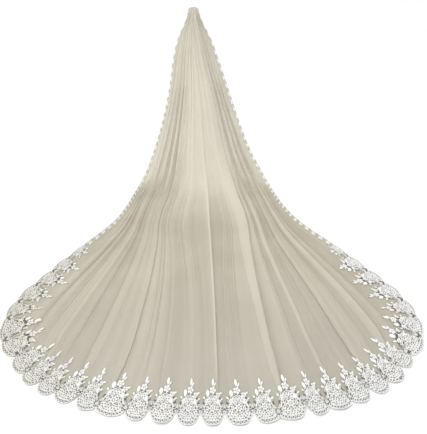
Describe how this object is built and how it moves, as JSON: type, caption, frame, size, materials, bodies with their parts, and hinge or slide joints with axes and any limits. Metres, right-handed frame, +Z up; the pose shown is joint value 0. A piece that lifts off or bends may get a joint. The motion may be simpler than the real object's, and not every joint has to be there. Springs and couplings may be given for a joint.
{
  "type": "bridal veil",
  "caption": "Long sheer veil gathered on a hair comb, falling over the back and spreading into a rounded floor train with scalloped lace.",
  "frame": {"origin": "middle of the comb's bar, where it sits in the hair at the crown", "axes": "+Z up, the wearer faces +Y, the train runs back to -Y, +X is to the wearer's right; the floor is 1.69 m below the origin"},
  "size_m": [2.612, 2.9145, 1.6955],
  "materials": {
    "tulle": "sheer soft net in champagne ivory",
    "lace": "corded floral lace, off-white on net",
    "binding": "satin ribbon",
    "comb_metal": "plain pale metal"
  },
  "bodies": {
    "root": {"tulle_panel": "tulle", "edging_left": "lace", "edging_right": "lace", "border_left": "lace", "border_hem": "lace", "border_right": "lace", "gather_binding": "binding", "comb": "comb_metal"}
  },
  "joints": []
}
